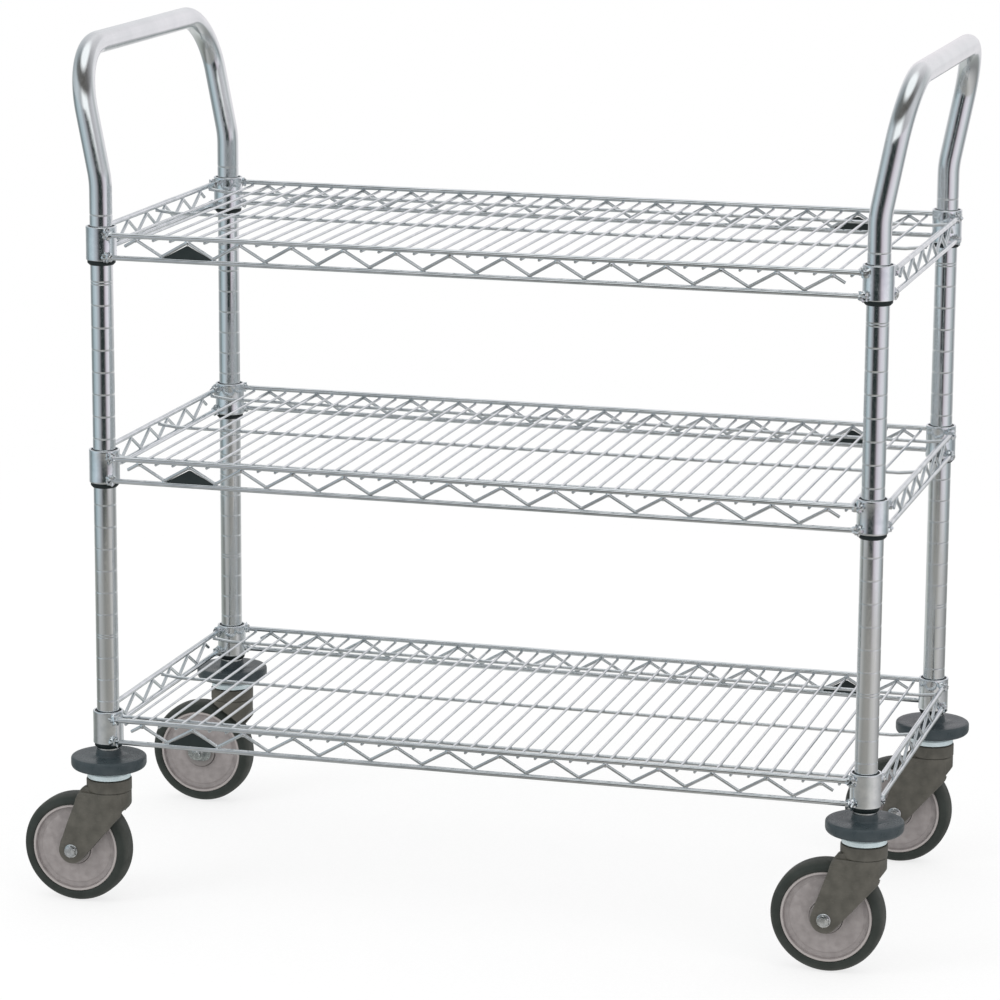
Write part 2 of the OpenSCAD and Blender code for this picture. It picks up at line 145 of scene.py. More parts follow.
class Shape:
    """Vertices in millimetres and faces that become one mesh object."""

    def __init__(self):
        self.verts = []
        self.faces = []
        self.kinds = []

    def add(self, verts, faces, kind=0):
        """Adds vertices and the faces between them. A face's kind is its place in the list of materials."""
        base = len(self.verts)
        self.verts.extend(Vector(v) for v in verts)
        self.faces.extend([i + base for i in f] for f in faces)
        self.kinds.extend([kind] * len(faces))

    def loft(self, rings, loop=False, kind=0):
        """Joins rings of equal length into a skin, capped unless loop joins the last ring to the first."""
        n = len(rings[0])
        verts = [v for ring in rings for v in ring]
        spans = len(rings) if loop else len(rings) - 1
        faces = []
        for i in range(spans):
            a, b = i * n, (i + 1) % len(rings) * n
            faces.extend((a + k, a + (k + 1) % n, b + (k + 1) % n, b + k) for k in range(n))
        if not loop:
            faces.append(tuple(range(n)))
            faces.append(tuple((len(rings) - 1) * n + k for k in range(n)))
        self.add(verts, faces, kind)

    def tube(self, path, radii, sides):
        """A closed wire along a path. radii is one radius or one for each point."""
        path = [Vector(p) for p in path]
        if not isinstance(radii, (list, tuple)):
            radii = [radii] * len(path)
        self.loft(swept(path, radii, sides))

    def lathe(self, profile, sides, axis="z", loop=True, kind=0):
        """Turns a profile of (radius, height) points about an axis. A loop profile is closed on itself."""
        rings = []
        for r, h in profile:
            rings.append([(x, y, h) if axis == "z" else (x, h, y) for x, y in circle(r, sides)])
        self.loft(rings, loop=loop, kind=kind)

    def merge(self, other, matrix=None):
        """Adds a copy of another shape, moved by a matrix if there is one."""
        base = len(self.verts)
        self.verts.extend(matrix @ v if matrix else v.copy() for v in other.verts)
        self.faces.extend([i + base for i in f] for f in other.faces)
        self.kinds.extend(other.kinds)


def swept(path, radii, sides):
    """Rings of points about a path, turned as little as possible from one to the next."""
    tangents = []
    for i, p in enumerate(path):
        before = (p - path[i - 1]).normalized() if i else Vector()
        after = (path[i + 1] - p).normalized() if i < len(path) - 1 else Vector()
        tangents.append((before + after).normalized())
    helper = Vector((0, 1, 0)) if abs(tangents[0].y) < 0.9 else Vector((0, 0, 1))
    normal = tangents[0].cross(helper).normalized()
    rings = []
    angles = [TAU * k / sides for k in range(sides)]
    for p, r, t, last in zip(path, radii, tangents, [tangents[0]] + tangents):
        normal = last.rotation_difference(t) @ normal
        side = t.cross(normal)
        rings.append([p + r * (math.cos(a) * normal + math.sin(a) * side) for a in angles])
    return rings


def wavering(a, b, count, amount):
    """Points from a to b that waver sideways by a hair, as drawn wire does."""
    a, b = Vector(a), Vector(b)
    points = []
    for i in range(count + 1):
        t = i / count
        fade = math.sin(math.pi * t) ** 0.5 if 0 < t < 1 else 0.0
        shift = Vector(random.uniform(-amount, amount) for _ in range(3)) * fade
        points.append(a.lerp(b, t) + shift)
    return points


def rounded_path(corners, radius):
    """A polyline whose inner corners are replaced by arcs."""
    steps = 5
    points = [Vector(corners[0])]
    for before, here, after in zip(corners, corners[1:], corners[2:]):
        here = Vector(here)
        u = (Vector(before) - here).normalized()
        v = (Vector(after) - here).normalized()
        half = u.angle(v) / 2
        centre = here + (u + v).normalized() * (radius / math.sin(half))
        start = here + u * (radius / math.tan(half)) - centre
        end = here + v * (radius / math.tan(half)) - centre
        points.extend(centre + start.slerp(end, i / steps) * radius for i in range(steps + 1))
    points.append(Vector(corners[-1]))
    return points


def nugget(size, centre, lumps, rings, sides, seed):
    """A lumpy weld nugget: an ellipsoid with its surface pushed about by noise."""
    shape = Shape()
    skin = []
    for i in range(rings + 1):
        lat = math.pi * (i + 0.12) / (rings + 0.24) - math.pi / 2
        ring = []
        for k in range(sides):
            lon = TAU * k / sides
            d = Vector((math.cos(lat) * math.cos(lon), math.cos(lat) * math.sin(lon), math.sin(lat)))
            swell = 1 + lumps * noise.noise(d * 2.3 + Vector((seed, 0, 0)))
            ring.append(Vector(centre) + Vector(s * c * swell for s, c in zip(size, d)))
        skin.append(ring)
    shape.loft(skin)
    return shape


def arc(cx, cy, r, start, end, steps):
    """Points on an arc in a profile, from start to end in degrees."""
    angles = [math.radians(start + (end - start) * i / steps) for i in range(steps + 1)]
    return [(cx + r * math.cos(a), cy + r * math.sin(a)) for a in angles]


def clean_mesh(name, verts, faces, kinds=None):
    """A mesh in metres with its faces turned outwards."""
    mesh = bpy.data.meshes.new(name)
    mesh.from_pydata([v * MM for v in verts], [], faces)
    if kinds:
        mesh.polygons.foreach_set("material_index", kinds)
    bm = bmesh.new()
    bm.from_mesh(mesh)
    bmesh.ops.recalc_face_normals(bm, faces=bm.faces)
    bm.to_mesh(mesh)
    bm.free()
    return mesh


def new_object(name, data):
    """A new object in the scene."""
    obj = bpy.data.objects.new(name, data)
    bpy.context.scene.collection.objects.link(obj)
    return obj


def piece(name, shape, looks, body, node, origin=(0, 0, 0)):
    """Makes a shape into an object at its origin, smooth but for sharp edges, that rides on a body."""
    o = Vector(origin)
    mesh = clean_mesh(name, [v - o for v in shape.verts], shape.faces, shape.kinds)
    for look in looks:
        mesh.materials.append(MATS[look])
    mesh.shade_smooth()
    mesh.set_sharp_from_angle(angle=SHARP)
    obj = new_object(name, mesh)
    obj.location = o * MM
    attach(obj, body)
    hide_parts(node)


# ---- Materials ----


def node_material(name):
    """A new material, its node tree and its main shader."""
    material = bpy.data.materials.new(name)
    material.use_nodes = True
    tree = material.node_tree
    return material, tree, tree.nodes["Principled BSDF"]


def new_node(tree, kind):
    """A new shader node of a kind."""
    return tree.nodes.new("ShaderNode" + kind)


def noise_node(tree, coords, scale, detail, stretch=None):
    """A noise texture over an object's own coordinates, optionally stretched along its axes."""
    tex = new_node(tree, "TexNoise")
    tex.inputs["Scale"].default_value = scale
    tex.inputs["Detail"].default_value = detail
    source = coords.outputs["Object"]
    if stretch:
        mapping = new_node(tree, "Mapping")
        mapping.inputs["Scale"].default_value = stretch
        tree.links.new(source, mapping.inputs["Vector"])
        source = mapping.outputs["Vector"]
    tree.links.new(source, tex.inputs["Vector"])
    return tex.outputs["Fac"]


def ramp_node(tree, source, low, high, dark, light):
    """Colours from dark to light as the source goes from low to high."""
    ramp = new_node(tree, "ValToRGB")
    ramp.color_ramp.elements[0].position = low
    ramp.color_ramp.elements[1].position = high
    ramp.color_ramp.elements[0].color = (*dark, 1)
    ramp.color_ramp.elements[1].color = (*light, 1)
    tree.links.new(source, ramp.inputs["Fac"])
    return ramp.outputs["Color"]


def range_node(tree, source, low, high, to_low=0.0, to_high=1.0):
    """A source's low to high as another range, held at its ends."""
    node = new_node(tree, "MapRange")
    for key, value in zip(("From Min", "From Max", "To Min", "To Max"), (low, high, to_low, to_high)):
        node.inputs[key].default_value = value
    tree.links.new(source, node.inputs["Value"])
    return node.outputs["Result"]


def math_node(tree, operation, a, b=None):
    """A math node on outputs or plain numbers."""
    node = new_node(tree, "Math")
    node.operation = operation
    for socket, value in zip(node.inputs, (a, b)):
        if isinstance(value, (int, float)):
            socket.default_value = value
        elif value is not None:
            tree.links.new(value, socket)
    return node.outputs["Value"]


def ring_node(tree, turn, stops):
    """Colours round the Z axis: (degrees from the front, positive to the right, colour), from -180 on."""
    stops = stops + [(180, stops[0][1])]
    ramp = new_node(tree, "ValToRGB")
    tree.links.new(range_node(tree, turn, -180, 180), ramp.inputs["Fac"])
    elements = ramp.color_ramp.elements
    for element, (degrees, colour) in zip(elements, (stops[0], stops[-1])):
        element.position, element.color = (degrees + 180) / 360, (*colour, 1)
    for degrees, colour in stops[1:-1]:
        elements.new((degrees + 180) / 360).color = (*colour, 1)
    return ramp.outputs["Color"]


def turn_node(tree, vector):
    """Degrees round the Z axis from the front, -Y, positive to the right."""
    side = dot_node(tree, vector, (1, 0, 0))
    ahead = dot_node(tree, vector, (0, -1, 0))
    return math_node(tree, "DEGREES", math_node(tree, "ARCTAN2", side, ahead))


def length_node(tree, vector):
    """The length of a vector output."""
    length = new_node(tree, "VectorMath")
    length.operation = "LENGTH"
    tree.links.new(vector, length.inputs[0])
    return length.outputs["Value"]


def dot_node(tree, vector, other):
    """The dot product of a vector output with a plain vector."""
    dot = new_node(tree, "VectorMath")
    dot.operation = "DOT_PRODUCT"
    tree.links.new(vector, dot.inputs[0])
    dot.inputs[1].default_value = other
    return dot.outputs["Value"]


def mix_node(tree, factor, a, b):
    """Mixes colour output a with b, a colour output or a plain colour, by a factor output."""
    mix = new_node(tree, "Mix")
    mix.data_type = "RGBA"
    tree.links.new(factor, mix.inputs["Factor"])
    tree.links.new(a, mix.inputs["A"])
    if isinstance(b, tuple):
        mix.inputs["B"].default_value = (*b, 1)
    else:
        tree.links.new(b, mix.inputs["B"])
    return mix.outputs["Result"]


def dress(tree, shader, colour, gloss, spec, heights):
    """Feeds a shader its colour, gloss and bumps, each a (height output, strength, distance in metres)."""
    tree.links.new(colour, shader.inputs["Base Color"])
    tree.links.new(gloss, shader.inputs["Roughness"])
    shader.inputs["Specular IOR Level"].default_value = spec
    normal = None
    for source, strength, distance in heights:
        bump = new_node(tree, "Bump")
        bump.inputs["Strength"].default_value = strength
        bump.inputs["Distance"].default_value = distance
        tree.links.new(source, bump.inputs["Height"])
        if normal:
            tree.links.new(normal, bump.inputs["Normal"])
        normal = bump.outputs["Normal"]
    tree.links.new(normal, shader.inputs["Normal"])


def metal(name, dark, light, rough, swing, cloud, grain, bump, stretch=None, metallic=1.0):
    """Plated metal: cloudy tint from dark to light, uneven gloss, fine grain, and dulled worn edges.

    cloud and grain are noise scales, rough is the mean roughness and swing is how far it strays.
    """
    material, tree, shader = node_material(name)
    coords = new_node(tree, "TexCoord")
    clouds = noise_node(tree, coords, cloud, 4.0, stretch)
    fine = noise_node(tree, coords, grain, 5.0, stretch)
    tint = ramp_node(tree, clouds, 0.32, 0.68, dark, light)
    edge = new_node(tree, "NewGeometry").outputs["Pointiness"]
    worn = range_node(tree, edge, 0.53, 0.62, 0.0, 0.6)
    colour = mix_node(tree, worn, tint, tuple(0.9 * c for c in light))
    gloss = range_node(tree, fine, 0.3, 0.7, rough - swing, rough + swing)
    shader.inputs["Metallic"].default_value = metallic
    dress(tree, shader, colour, gloss, 0.5, [(fine, bump, 0.0002), (clouds, bump * 0.6, 0.001)])
    return material


def moulded(name, dark, light, rough, swing, mottle, grain, bump, wear=None, scuff=0.0, spec=0.5):
    """Plastic or rubber: mottled colour, fine grain, scuffed patches and edges of the wear colour."""
    material, tree, shader = node_material(name)
    coords = new_node(tree, "TexCoord")
    patches = noise_node(tree, coords, mottle, 5.0)
    fine = noise_node(tree, coords, grain, 3.0)
    colour = ramp_node(tree, patches, 0.3, 0.7, dark, light)
    if wear:
        edge = new_node(tree, "NewGeometry").outputs["Pointiness"]
        colour = mix_node(tree, range_node(tree, edge, 0.52, 0.60, 0.0, 0.55), colour, wear)
    if scuff:
        marks = noise_node(tree, coords, mottle * 2.6, 8.0, (1.0, 1.0, 3.5))
        scuffed = range_node(tree, marks, 0.6, 0.74, 0.0, scuff)
        colour = mix_node(tree, scuffed, colour, tuple(c * 1.7 for c in light))
    gloss = range_node(tree, patches, 0.3, 0.7, rough - swing, rough + swing)
    dress(tree, shader, colour, gloss, spec, [(fine, bump, 0.0002), (patches, bump * 0.5, 0.0008)])
    return material


MATS = {
    "chrome_tube": metal(
        "chrome tube", (0.76, 0.79, 0.80), (0.86, 0.88, 0.89),
        rough=0.14, swing=0.05, cloud=22, grain=420, bump=0.04, stretch=(1, 1, 0.35),
    ),
    "chrome_wire": metal(
        "chrome wire", (0.66, 0.70, 0.72), (0.84, 0.87, 0.89),
        rough=0.11, swing=0.05, cloud=60, grain=700, bump=0.08,
    ),
    "chrome_collar": metal(
        "cast collar plate", (0.74, 0.78, 0.81), (0.93, 0.96, 0.98),
        rough=0.16, swing=0.06, cloud=70, grain=300, bump=0.07,
    ),
    "bright_zinc": metal(
        "bright zinc", (0.45, 0.47, 0.48), (0.80, 0.82, 0.82),
        rough=0.24, swing=0.08, cloud=240, grain=900, bump=0.12,
    ),
    "zinc_steel": metal(
        "passivated zinc", (0.70, 0.82, 0.86), (0.80, 0.91, 0.94),
        rough=0.34, swing=0.05, cloud=90, grain=600, bump=0.05, metallic=0.4,
    ),
    "ball_steel": metal(
        "ball steel", (0.55, 0.56, 0.58), (0.72, 0.73, 0.75),
        rough=0.12, swing=0.04, cloud=200, grain=900, bump=0.05,
    ),
    "black_plastic": moulded(
        "black plastic", (0.004, 0.008, 0.009), (0.010, 0.016, 0.017),
        rough=0.42, swing=0.08, mottle=120, grain=1500, bump=0.15, wear=(0.03, 0.04, 0.04), spec=0.22,
    ),
    "bumper_rubber": moulded(
        "bumper rubber", (0.034, 0.047, 0.053), (0.052, 0.065, 0.072),
        rough=0.30, swing=0.08, mottle=70, grain=1300, bump=0.2, wear=(0.09, 0.10, 0.105),
        scuff=0.12, spec=0.22,
    ),
    "fork_plastic": moulded(
        "fork plastic", (0.066, 0.063, 0.052), (0.104, 0.098, 0.082),
        rough=0.52, swing=0.07, mottle=75, grain=1500, bump=0.35, wear=(0.15, 0.15, 0.137),
        scuff=0.35, spec=0.4,
    ),
    "bush_plastic": moulded(
        "bush plastic", (0.03, 0.035, 0.035), (0.06, 0.065, 0.065),
        rough=0.45, swing=0.06, mottle=120, grain=1500, bump=0.2,
    ),
    "hub_plastic": moulded(
        "hub plastic", (0.15, 0.135, 0.13), (0.20, 0.185, 0.18),
        rough=0.48, swing=0.07, mottle=120, grain=1500, bump=0.2, wear=(0.30, 0.28, 0.27),
    ),
}


def axle_radius(tree, coords):
    """Distance from the Y axis of an object whose origin is on its axle, in metres."""
    split = new_node(tree, "SeparateXYZ")
    tree.links.new(coords.outputs["Object"], split.inputs["Vector"])
    joined = new_node(tree, "CombineXYZ")
    tree.links.new(split.outputs["X"], joined.inputs["X"])
    tree.links.new(split.outputs["Z"], joined.inputs["Z"])
    return length_node(tree, joined.outputs["Vector"])


def wheel_core_material():
    """Warm grey plastic disc, darker round its hub, with a painted highlight on its rim ring."""
    material, tree, shader = node_material("wheel core plastic")
    coords = new_node(tree, "TexCoord")
    mottle = noise_node(tree, coords, 130, 8.0)
    fine = noise_node(tree, coords, 1400, 3.0)
    colour = ramp_node(tree, mottle, 0.3, 0.7, (0.250, 0.226, 0.222), (0.325, 0.297, 0.291))
    radius = axle_radius(tree, coords)
    # Painted highlight: the rim ring is coloured lighter to stand in for light caught on its lip.
    rim = range_node(tree, radius, 0.0484, 0.0492, 0.0, 0.7)
    colour = mix_node(tree, rim, colour, (0.44, 0.405, 0.39))
    # The web is coloured darker towards the hub.
    darker_near_hub = range_node(tree, radius, 0.026, 0.0195, 0.0, 0.3)
    colour = mix_node(tree, darker_near_hub, colour, (0.16, 0.145, 0.14))
    gloss = range_node(tree, mottle, 0.3, 0.7, 0.40, 0.54)
    dress(tree, shader, colour, gloss, 0.5, [(fine, 0.3, 0.0002), (mottle, 0.15, 0.001)])
    return material


def tyre_material():
    """Dark rubber: a satin sidewall, and a duller and dustier tread."""
    material, tree, shader = node_material("tyre rubber")
    coords = new_node(tree, "TexCoord")
    mottle = noise_node(tree, coords, 55, 6.0)
    fine = noise_node(tree, coords, 1200, 3.0)
    side = ramp_node(tree, mottle, 0.3, 0.7, (0.020, 0.026, 0.022), (0.034, 0.041, 0.036))
    tread = ramp_node(tree, mottle, 0.3, 0.7, (0.036, 0.040, 0.035), (0.058, 0.062, 0.055))
    radius = axle_radius(tree, coords)
    worn = range_node(tree, radius, 0.0595, 0.0625)
    colour = mix_node(tree, worn, side, tread)
    gloss = range_node(tree, radius, 0.059, 0.0625, 0.46, 0.62)
    dress(tree, shader, colour, gloss, 0.35, [(fine, 0.3, 0.0002), (mottle, 0.2, 0.001)])
    return material


MATS["core_plastic"] = wheel_core_material()
MATS["tyre"] = tyre_material()


# ---- End frames ----


def groove_heights():
    """Centre and half width of each pressed groove, from the bottom up."""
    marks = []
    for k in range(21, -4, -1):
        z = TOP_Z - (k + 2.5) * GROOVE_PITCH
        if k % PAIR_EVERY == 0:
            marks.extend([(z - PAIR_GAP, 0.75), (z + PAIR_GAP, 0.75)])
        else:
            marks.append((z, 0.9))
    return marks


def post_rings():
    """Heights and radii up one grooved post, as far as the kink."""
    rings = [(POST_FOOT_Z, POST_R - 0.4), (POST_FOOT_Z + 0.5, POST_R)]
    slope = ((-1.0, 0.0), (-0.7, 0.12), (-0.35, 0.42))
    dent = slope + ((0.0, GROOVE_DEPTH),) + tuple((-t, depth) for t, depth in reversed(slope))
    for z, half in groove_heights():
        rings.append((z - half - 0.25, POST_R))
        rings.extend((z + t * half, POST_R - depth) for t, depth in dent)
        rings.append((z + half + 0.25, POST_R))
    rings.append((KINK_Z - KINK_R * math.tan(LEAN / 2), POST_R))
    return rings


def frame_path(side):
    """Centreline points and radii of an end frame: up the front post, over the grip, down the back post."""
    x = MID_X + side * HALF_X
    up = [(Vector((x, 0, z)), r) for z, r in post_rings()]
    centre = Vector((x + side * KINK_R, 0, KINK_Z - KINK_R * math.tan(LEAN / 2)))
    for i in range(1, 9):
        a = LEAN * i / 8
        up.append((centre + Vector((-side * KINK_R * math.cos(a), 0, KINK_R * math.sin(a))), POST_R))
    rise = (GRIP_Z - KINK_Z) / math.cos(LEAN)
    slope = Vector((side * math.sin(LEAN), 0, math.cos(LEAN)))
    base = Vector((x, 0, KINK_Z))
    for share in (0.4, 0.8):
        up.append((base + slope * (rise - CORNER_R) * share + slope * 4, POST_R))
    half = [(p + Vector((0, -HALF_Y, 0)), r) for p, r in up]
    for i in range(19):
        a = math.pi / 2 * i / 18
        along = rise - CORNER_R + CORNER_R * math.sin(a)
        y = -(HALF_Y - CORNER_R) - CORNER_R * math.cos(a)
        half.append((base + slope * along + Vector((0, y, 0)), POST_R))
    half.append((base + slope * rise + Vector((0, -45, 0)), POST_R))
    back = [(Vector((p.x, -p.y, p.z)), r) for p, r in reversed(half)]
    return half + back


def end_frame(name, side):
    """A hollow tube: the grooved outer skin, and a plain inner skin that skips the grooves."""
    points = frame_path(side)
    path = [p for p, _ in points]
    outer = swept(path, [r for _, r in points], POST_SIDES)
    inner_path = [p for p, r in points if r == POST_R or p is path[0] or p is path[-1]]
    inner = swept(inner_path, [POST_R - POST_WALL] * len(inner_path), POST_SIDES)
    shape = Shape()
    shape.loft(outer + inner[::-1], loop=True)
    slot = "chrome_tube"
    piece(f"{name}_frame_tube", shape, [slot], "cart_frame", f"{name}_end_frame")


# ---- Shelves ----


def deck_mat(z):
    """The welded mat of a shelf: cross wires on three long wires, with a nugget at each weld."""
    shape = Shape()
    deck_z = z - TOP_WIRE_DROP - DECK_DROP
    support_z = z - TOP_WIRE_DROP - SUPPORT_DROP
    last = (LONG_PEAKS - 1) / 2 * 3 + 1
    for n in range(int(2 * last) + 1):
        x = MID_X + (n - last) * DECK_PITCH
        at_peak = (n - 1) % 3 == 0
        reach = EDGE_Y + (-TRUSS_R if at_peak else 1.5)
        path = wavering((x, -reach + 0.7, deck_z), (x, reach - 0.7, deck_z), 8, WIRE_WAVER)
        ends = [(x, side * reach, deck_z - 0.25) for side in SIDES]
        radii = [DECK_R * 0.7] + [DECK_R] * len(path) + [DECK_R * 0.7]
        shape.tube([ends[0]] + path + [ends[1]], radii, 10)
        for y in (-SUPPORT_Y, 0, SUPPORT_Y):
            size = (random.uniform(1.9, 2.3), random.uniform(1.9, 2.3), 1.0)
            shape.merge(nugget(size, (x, y, deck_z - 1.35), 0.35, 4, 8, n + y))
        for side in SIDES:
            at = (x, side * (EDGE_Y - 0.6), deck_z + 1.3)
            shape.merge(nugget((1.9, 1.4, 1.1), at, 0.3, 4, 8, n * 1.7 + side))
    ramp = z - TOP_WIRE_DROP - PEAK_DROP
    for y in (-SUPPORT_Y, 0, SUPPORT_Y):
        flat = EDGE_X - SUPPORT_RAMP
        middle = wavering((MID_X - flat + 6, y, support_z), (MID_X + flat - 6, y, support_z), 14, 0.2)
        corners = [(MID_X - EDGE_X, y, ramp), (MID_X - flat, y, support_z), tuple(middle[0])]
        left = rounded_path(corners, 12)[:-1]
        corners = [tuple(middle[-1]), (MID_X + flat, y, support_z), (MID_X + EDGE_X, y, ramp)]
        right = rounded_path(corners, 12)[1:]
        shape.tube(left + middle + right, SUPPORT_R, 12)
        for side in SIDES:
            at = (MID_X + side * (EDGE_X - 0.4), y, ramp + 1.2)
            shape.merge(nugget((1.8, 2.2, 1.3), at, 0.3, 4, 8, y + side))
    return shape


def truss(half_len, peaks):
    """One side truss along X, outward at -Y: two edge wires, the zigzag and its welds."""
    shape = Shape()
    for z in (0.0, -TRUSS_H):
        shape.tube(wavering((-half_len - 2, 0, z), (half_len + 2, 0, z), 16, 0.12), EDGE_R, 16)
    first = -(peaks - 1) / 2 * PERIOD
    half = PERIOD / 2
    bend_r = 4.0
    slope = math.atan2(TRUSS_H - 2 * PEAK_DROP, half)
    lift = bend_r * (1 / math.cos(slope) - 1)
    high = -PEAK_DROP + lift
    low = -TRUSS_H + PEAK_DROP - lift
    tail = 0.45
    corners = [(first - tail * half, 0, high + tail * (low - high))]
    for i in range(peaks):
        corners.append((first + i * PERIOD, 0, high))
        if i < peaks - 1:
            corners.append((first + i * PERIOD + half, 0, low))
    corners.append((-first + tail * half, 0, high + tail * (low - high)))
    path = rounded_path(corners, bend_r)
    ends = (path[1] - path[0]).normalized() * 0.4, (path[-2] - path[-1]).normalized() * 0.4
    path = [path[0], path[0] + ends[0]] + path[1:-1] + [path[-1] + ends[1], path[-1]]
    radii = [TRUSS_R * 0.75] + [TRUSS_R] * (len(path) - 2) + [TRUSS_R * 0.75]
    shape.tube(path, radii, 12)
    for i in range(peaks):
        x = first + i * PERIOD
        seed = random.uniform(0, 50)
        shape.merge(nugget((3.0, 2.1, 2.8), (x, -0.6, -PEAK_DROP + 0.3), 0.35, 6, 12, seed))
        shape.merge(nugget((2.6, 1.6, 1.2), (x, 0, -EDGE_R + 0.1), 0.35, 4, 8, seed + 7))
        if i < peaks - 1:
            shape.merge(nugget((3.0, 1.6, 1.2), (x + half, 0, -TRUSS_H + EDGE_R), 0.35, 4, 8, seed + 3))
    for z in (0.0, -TRUSS_H):
        for side in SIDES:
            seed = random.uniform(0, 50)
            at = (side * (half_len + 0.8), -0.4, z)
            shape.merge(nugget((5.8, 4.9, 5.6), at, 0.7, 12, 20, seed))
    return shape


def trusses(z):
    """The four side trusses of a shelf, turned round its middle."""
    shape = Shape()
    level = Vector((MID_X, 0, z - TOP_WIRE_DROP))
    long = (EDGE_Y, HALF_X - WELD_IN, LONG_PEAKS)
    short = (EDGE_X, HALF_Y - WELD_IN, SHORT_PEAKS)
    for turn, (out, half_len, peaks) in ((0, long), (90, short), (180, long), (270, short)):
        place = Matrix.Translation(level) @ Matrix.Rotation(math.radians(turn), 4, "Z")
        shape.merge(truss(half_len, peaks), place @ Matrix.Translation((0, -out, 0)))
    return shape


def at_posts(unit, z):
    """Copies of a shape made about the origin, on all four posts."""
    shape = Shape()
    for sx in SIDES:
        for sy in SIDES:
            shape.merge(unit, Matrix.Translation((MID_X + sx * HALF_X, sy * HALF_Y, z)))
    return shape


def collar():
    """A cast collar hanging from z = 0, with rounded rims and a slightly swollen foot."""
    r, bore, h = COLLAR_R, COLLAR_BORE_R, COLLAR_H
    profile = [(bore, -h + 0.3), (bore + 0.4, -h)]
    profile += arc(r - 0.9, -h + 0.9, 0.9, -90, 0, 4)
    profile += [(r, -h + 3.0), (r - 0.12, -h + 5.0), (r - 0.15, -h / 2), (r - 0.12, -4.0), (r, -2.5)]
    profile += arc(r - 0.9, -0.9, 0.9, 0, 90, 4)
    profile += [(bore + 0.4, 0.0), (bore, -0.3)]
    shape = Shape()
    shape.lathe(profile, 56)
    return shape


def sleeve():
    """Two half sleeves about a post, hanging from z = 0, with a rounded lip under the collar."""
    inner, outer, lip = POST_R + 0.05, COLLAR_BORE_R - 0.05, LIP_R
    low = -COLLAR_H - LIP_H
    profile = [(inner, low + 0.2), (inner + 0.2, low), (inner + 0.9, low)]
    profile += [(lip - 0.3, low + 2.0), (lip, low + 2.6)]
    profile += arc(lip - 0.5, -COLLAR_H - 0.5, 0.5, 0, 90, 2)
    profile += [(outer, -COLLAR_H), (outer, -1.8), (outer - 0.4, -1.4), (inner, -1.4)]
    shape = Shape()
    steps = 28
    for start in (1, 181):
        rings = []
        for i in range(steps + 1):
            a = math.radians(start + 178 * i / steps)
            rings.append([(r * math.cos(a), r * math.sin(a), z) for r, z in profile])
        shape.loft(rings)
    return shape


def badge():
    """A blank triangular plate with bevelled edges, in XZ about its zigzag peak, centred on y = 0."""
    half = PERIOD / 2 - 3
    low = -TRUSS_H + EDGE_R - 0.3
    high = -PEAK_DROP - 3
    right = [(half, low), (half, low + 1), (1.2, high - 0.4)]
    outline = [(-half, low)] + right + [(-1.2, high - 0.4), (-half, low + 1)]
    middle = Vector((0, (low * 2 + high) / 3))
    rings = []
    for y, inset in ((-1.0, 0.5), (-0.6, 0.0), (0.6, 0.0), (1.0, 0.5)):
        ring = []
        for p in outline:
            q = Vector(p)
            q += (middle - q).normalized() * inset
            ring.append((q.x, y, q.y))
        rings.append(ring)
    shape = Shape()
    shape.loft(rings)
    return shape


def badges(z):
    """The blank badges of a shelf, one in the second bay from an end on each long side."""
    shape = Shape()
    x = (LONG_PEAKS - 1) / 2 * PERIOD - PERIOD
    for side in SIDES:
        shape.merge(badge(), Matrix.Translation((MID_X + side * x, side * EDGE_Y, z - TOP_WIRE_DROP)))
    return shape


# ---- Casters, in their own upright frame: swivel axis on Z, arm on -Y ----


def bumper():
    """Round rubber bumper, a little dished on top, with a low boss round the post's foot."""
    r, low, high = BUMPER_R, RACE_TOP_Z, POST_FOOT_Z
    bore, post_gap = 6.6, POST_R + 0.25
    profile = [(bore, low)] + arc(r - 6, low + 6, 6, -90, 0, 8) + [(r, high - 5)]
    profile += arc(r - 3, high - 3, 3, 0, 90, 6)
    profile += [(34, high - 0.15), (24, high - 0.5), (16.2, high - 0.4), (15.2, high + 0.4)]
    profile += [(14.6, high + 1.6), (14.2, high + 7.4), (13.9, high + 7.8), (13.2, high + 7.8)]
    profile += [(post_gap, high + 7.5), (post_gap, high - 0.1), (bore, high - 0.1)]
    shape = Shape()
    shape.lathe(profile, 96)
    return shape


def raceway():
    """Pressed ring over the swivel balls, with a skirt that hangs round the head's rim."""
    ball_roof = 151.0
    profile = [(KINGPIN_BORE_R, ball_roof + 1), (12.0, ball_roof + 1), (13.0, ball_roof), (22.0, ball_roof)]
    profile += [(23.3, 149.3)] + arc(24.4, 149.6, 0.6, -120, 0, 4)
    profile += [(25.0, 153.9)] + arc(24.4, 154.2, 0.6, 0, 60, 3)
    profile += [(22.2, RACE_TOP_Z), (KINGPIN_BORE_R, RACE_TOP_Z)]
    shape = Shape()
    shape.lathe(profile, 72)
    return shape


def arm_outline():
    """Outline of the fork's arm in X and Z: shoulder, flanks, and the round end at the axle."""
    right, knee = (HEAD_R - 0.2, 119.0), (HEAD_R - 5.0, 108.0)
    left_x, left_z = -HEAD_R - 9, 120.0

    def tangent(corner, sign):
        """Angle at the axle where a line from a corner touches the round end."""
        dx, dz = corner[0] + TRAIL, corner[1] - AXLE_Z
        return math.atan2(dz, dx) + sign * math.acos(ARM_END_R / math.hypot(dx, dz))

    start, end = tangent(knee, -1), tangent((left_x, left_z), 1)
    points = [(HEAD_R - 0.4, NECK_TOP_Z), right, knee]
    steps = 22
    sweep = start - (end - TAU)
    for i in range(steps + 1):
        a = start - sweep * i / steps
        points.append((-TRAIL + ARM_END_R * math.cos(a), AXLE_Z + ARM_END_R * math.sin(a)))
    points += [(left_x, left_z), (left_x + 0.8, left_z + 4), (left_x + 3.4, left_z + 9)]
    points.append((-HEAD_R - 1.0, NECK_TOP_Z))
    return points


